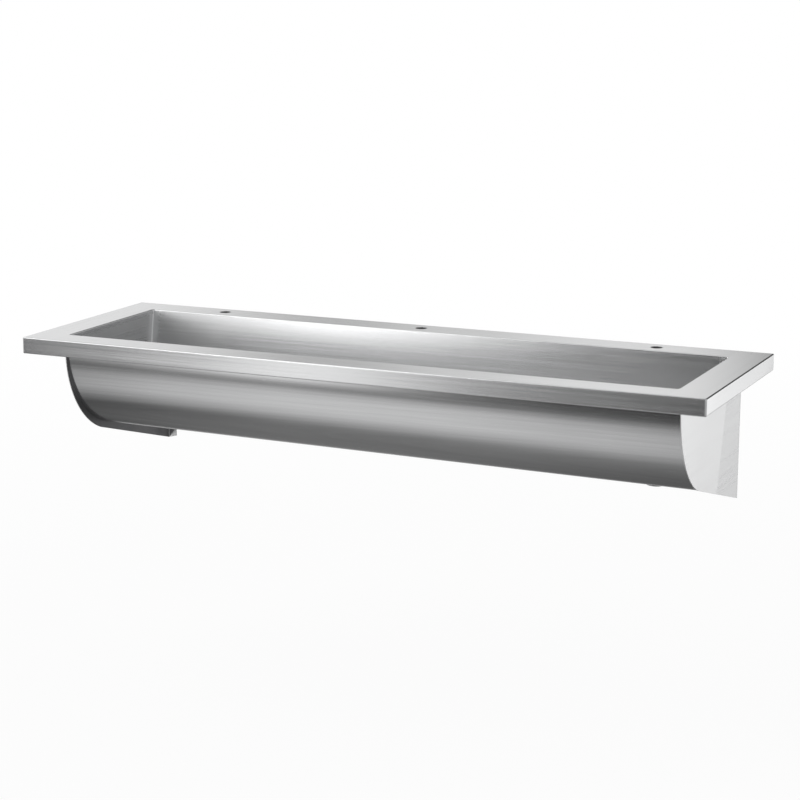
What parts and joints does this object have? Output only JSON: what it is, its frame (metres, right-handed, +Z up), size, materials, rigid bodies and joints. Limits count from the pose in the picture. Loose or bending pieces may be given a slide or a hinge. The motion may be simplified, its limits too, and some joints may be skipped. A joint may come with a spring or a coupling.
{
  "type": "trough sink",
  "caption": "Wall-hung stainless trough sink: a long bowl with a curved front hangs from a flat ledge with tap holes, between end panels that fix to the wall, with a waste at one end.",
  "frame": {"origin": "middle of the ledge's back edge, on the wall and level with the top of the ledge", "axes": "+X along the trough to the right-hand end as its user sees it, +Y into the wall, +Z up"},
  "size_m": [1.8, 0.6, 0.378],
  "materials": {
    "steel_ledge": "satin",
    "steel_bowl": "satin",
    "steel_end": "satin",
    "steel_panel": "satin",
    "steel_frame": "mill",
    "steel_waste": "satin",
    "steel_strainer": "polished",
    "rubber_seal": "matt",
    "brass_earth": "plain",
    "rubber_pad": "matt"
  },
  "bodies": {
    "trough": {"ledge_front": "steel_ledge", "ledge_back": "steel_ledge", "ledge_left": "steel_ledge", "ledge_right": "steel_ledge", "bowl_skin": "steel_bowl", "bowl_end_left": "steel_end", "bowl_end_right": "steel_end", "end_panel_left": "steel_panel", "end_panel_right": "steel_panel", "tap_plate_left": "steel_frame", "tap_plate_middle": "steel_frame", "tap_plate_right": "steel_frame", "rear_angle": "steel_frame", "front_channel": "steel_frame", "earth_lug": "steel_frame", "waste_flange": "steel_waste", "waste_nut": "steel_waste", "waste_top_seal": "rubber_seal", "waste_under_seal": "rubber_seal", "earth_bolt": "brass_earth", "earth_nut": "brass_earth", "earth_washers": "brass_earth", "damping_pad_left": "rubber_pad", "damping_pad_right": "rubber_pad"},
    "strainer": {"strainer_plate": "steel_strainer", "strainer_knob": "steel_strainer"}
  },
  "joints": [
    {"name": "strainer_lift", "type": "slide", "parent": "trough", "child": "strainer", "axis": [0.0098, 0, 1], "range_m": [0, 0.06]}
  ]
}
